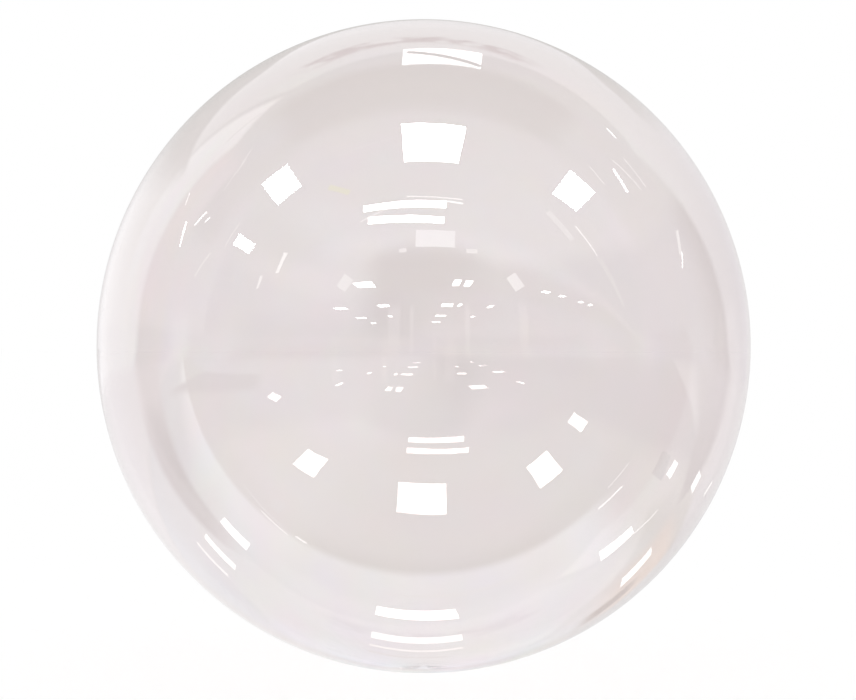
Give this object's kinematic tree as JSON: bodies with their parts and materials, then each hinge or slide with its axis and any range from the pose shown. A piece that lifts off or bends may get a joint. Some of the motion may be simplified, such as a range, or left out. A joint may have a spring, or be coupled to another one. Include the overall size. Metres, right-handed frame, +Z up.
{
  "type": "clear bubble balloon",
  "caption": "Ball of thin clear film blown up tight with air, its neck sealed flush inside a small flat underneath on which it stands.",
  "frame": {"origin": "middle of the small flat underneath, on the surface that the balloon stands on", "axes": "+Z up through the crown, the axis of symmetry; X and Y are level and alike"},
  "size_m": [0.508, 0.508, 0.5057],
  "materials": {
    "clear_film": "very smooth clear stretched plastic film, a faint rosy grey cast, mirror-sharp weak reflections that strengthen to the rim"
  },
  "bodies": {
    "root": {"film_envelope": "clear_film"}
  },
  "joints": []
}
